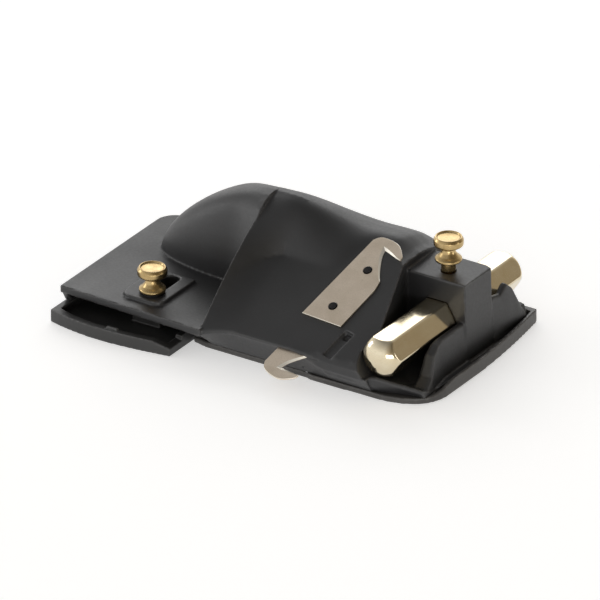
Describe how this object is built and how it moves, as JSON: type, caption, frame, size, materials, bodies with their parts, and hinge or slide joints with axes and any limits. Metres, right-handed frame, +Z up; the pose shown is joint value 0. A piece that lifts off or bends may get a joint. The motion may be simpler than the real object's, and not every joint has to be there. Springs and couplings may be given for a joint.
{
  "type": "sheet flooring edge trimming plane",
  "caption": "Palm-held edge trimming plane: domed body on a flat sole, hook blade, stored spare blade, sliding edge guide and clamped hexagonal guide bar.",
  "frame": {"origin": "centre of the overall box in plan, at the underside of the flat sole", "axes": "+X along the direction of travel towards the bowed nose, +Y away from the blade side, +Z up"},
  "size_m": [0.1686, 0.1149, 0.0524],
  "materials": {
    "body_plastic": "satin black moulding with a fine spark texture",
    "sole_plastic": "satin black, rubbed bright along the lip",
    "guide_plastic": "satin black with rubbed edges",
    "black_steel": "black oxide",
    "zinc_steel": "bright zinc",
    "brass": "turned",
    "polished_brass": "turned and polished",
    "nickel_bar": "polished nickel plate",
    "blade_steel": "satin blade steel with ground edges"
  },
  "bodies": {
    "tool_body": {"main_body": "body_plastic", "sole_plate": "sole_plastic", "sole_screws": "black_steel", "bar_insert": "brass", "cutting_blade": "blade_steel", "blade_lock_inserts": "brass", "blade_lock_screws": "black_steel", "spare_blade_pins": "body_plastic", "spare_blade_magnet": "zinc_steel"},
    "guide": {"edge_guide": "guide_plastic", "guide_insert": "brass"},
    "washer": {"rear_washer": "black_steel"},
    "rear_screw": {"rear_thumb_screw": "polished_brass"},
    "pad": {"clamp_pad": "zinc_steel"},
    "front_screw": {"front_thumb_screw": "polished_brass"},
    "bar": {"guide_bar": "nickel_bar"},
    "stored_blade": {"spare_blade": "blade_steel"}
  },
  "joints": [
    {"name": "guide_slide", "type": "slide", "parent": "tool_body", "child": "guide", "axis": [0, 1, 0], "range_m": [0, 0.014]},
    {"name": "rear_washer_lift", "type": "slide", "parent": "guide", "child": "washer", "axis": [0, 0, 1], "range_m": [0, 0.0016]},
    {"name": "rear_screw_turn", "type": "hinge", "parent": "washer", "child": "rear_screw", "pos_m": [-0.04815, -0.03465, 0.0158], "axis": [0, 0, 1], "range_deg": [0, 720]},
    {"name": "clamp_lift", "type": "slide", "parent": "tool_body", "child": "pad", "axis": [0, 0, 1], "range_m": [0, 0.0016]},
    {"name": "front_screw_turn", "type": "hinge", "parent": "pad", "child": "front_screw", "pos_m": [0.06265, 0.01155, 0.0403], "axis": [0, 0, 1], "range_deg": [0, 720]},
    {"name": "bar_slide", "type": "slide", "parent": "tool_body", "child": "bar", "axis": [0, 1, 0], "range_m": [-0.035, 0.01]},
    {"name": "spare_blade_lift", "type": "slide", "parent": "tool_body", "child": "stored_blade", "axis": [0, -0.4695, 0.8829], "range_m": [0, 0.008]}
  ],
  "couplings": [
    {"joint": "rear_washer_lift", "follows": "rear_screw_turn", "m_per_rad": 0.00012732},
    {"joint": "clamp_lift", "follows": "front_screw_turn", "m_per_rad": 0.00012732}
  ]
}
